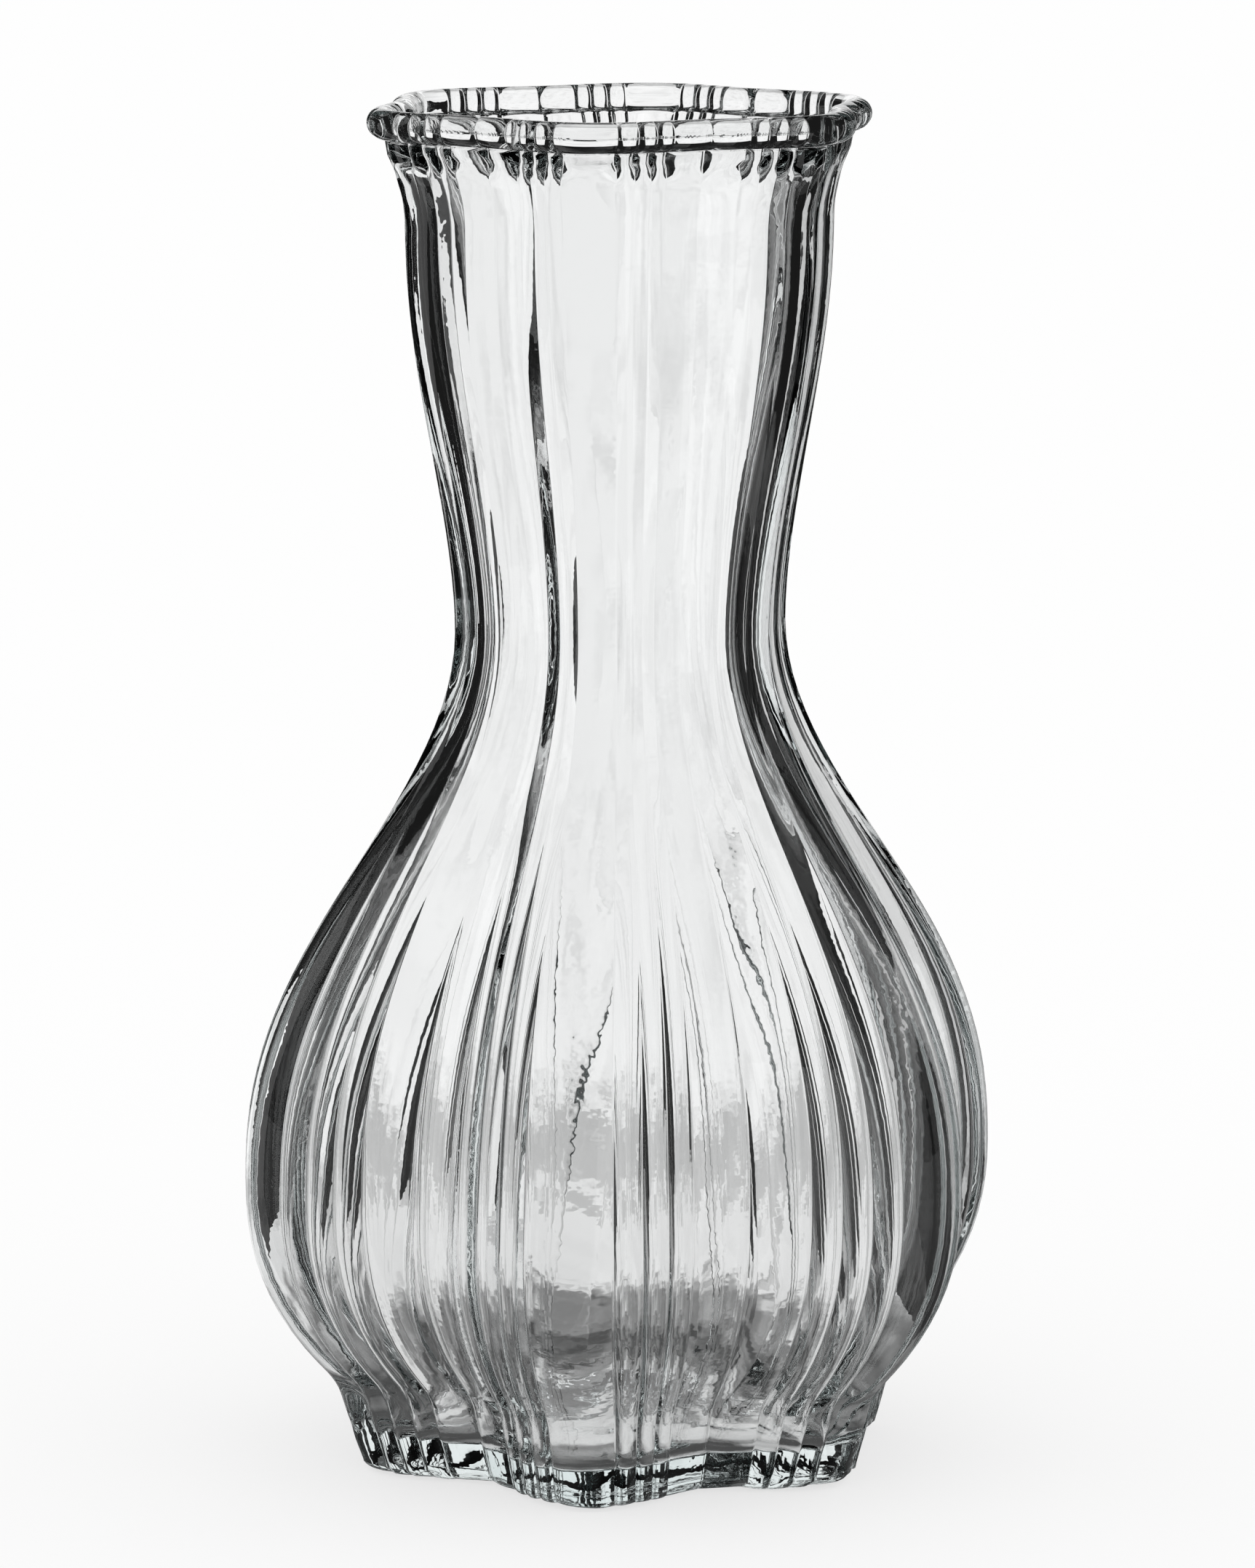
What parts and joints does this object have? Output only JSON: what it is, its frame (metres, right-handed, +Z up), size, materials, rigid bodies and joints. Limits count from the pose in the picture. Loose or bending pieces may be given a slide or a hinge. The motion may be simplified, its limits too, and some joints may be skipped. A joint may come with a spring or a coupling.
{
  "type": "glass vase",
  "caption": "Clear glass vase with a lobed, reeded bulb-shaped bowl on a solid foot, a waisted neck and a rolled lobed rim, for cut flowers.",
  "frame": {"origin": "middle of the foot's underside, on the surface that the vase stands on", "axes": "+Z up along the vase's axis; one lobe's crest faces -Y, the front"},
  "size_m": [0.0894, 0.0992, 0.17],
  "materials": {
    "clear_glass": "clear, fire-polished, faintly rippled moulded glass"
  },
  "bodies": {
    "root": {"foot": "clear_glass", "bowl": "clear_glass", "neck": "clear_glass", "rim": "clear_glass"}
  },
  "joints": []
}
